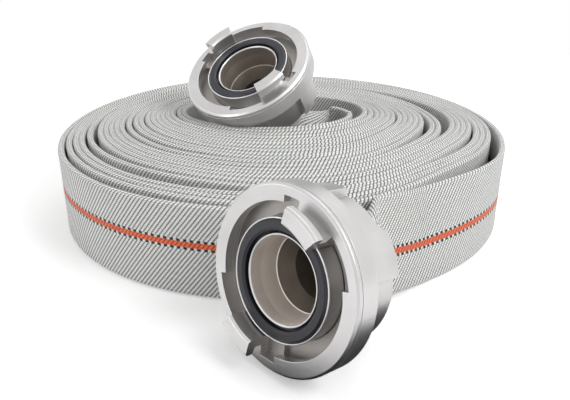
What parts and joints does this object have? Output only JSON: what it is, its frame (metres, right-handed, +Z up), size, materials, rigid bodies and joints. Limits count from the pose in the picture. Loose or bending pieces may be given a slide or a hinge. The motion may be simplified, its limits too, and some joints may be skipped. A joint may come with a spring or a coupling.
{
  "type": "rolled fire hose",
  "caption": "Layflat fire hose rolled up flat on its edge, with a lugged quick coupling on its outer end and another on its inner end, mouths facing out.",
  "frame": {"origin": "middle of the floor under the whole object's bounding box", "axes": "+Z up, out of the flat side of the roll; -Y towards the front coupling's side; +X to the right"},
  "size_m": [0.3336, 0.4132, 0.1339],
  "materials": {
    "jacket": "woven polyester, white with an orange marker stripe",
    "lining": "matt rubber lining",
    "alloy": "satin forged aluminium, turned faces bright",
    "seal": "smooth black rubber",
    "spring_steel": "bright spring steel",
    "wire": "drawn stainless wire",
    "cuff": "blue-green sleeve over the binding"
  },
  "bodies": {
    "hose": {"hose_jacket": "jacket", "hose_lining": "lining", "front_hose_tail": "alloy", "front_seal": "seal", "front_retaining_ring": "spring_steel", "front_binding_wire": "wire", "front_binding_cuff": "cuff", "centre_hose_tail": "alloy", "centre_seal": "seal", "centre_retaining_ring": "spring_steel", "centre_binding_wire": "wire", "centre_binding_cuff": "cuff"},
    "front_head": {"front_lug_ring": "alloy"},
    "centre_head": {"centre_lug_ring": "alloy"}
  },
  "joints": [
    {"name": "front_coupling_swivel", "type": "hinge", "parent": "hose", "child": "front_head", "pos_m": [0.01256, -0.15968, 0.04776], "axis": [-0.6979, -0.6931, 0.1805], "continuous": true},
    {"name": "centre_coupling_swivel", "type": "hinge", "parent": "hose", "child": "centre_head", "pos_m": [-0.02025, 0.05321, 0.09214], "axis": [-0.3192, -0.4644, 0.8261], "continuous": true}
  ]
}
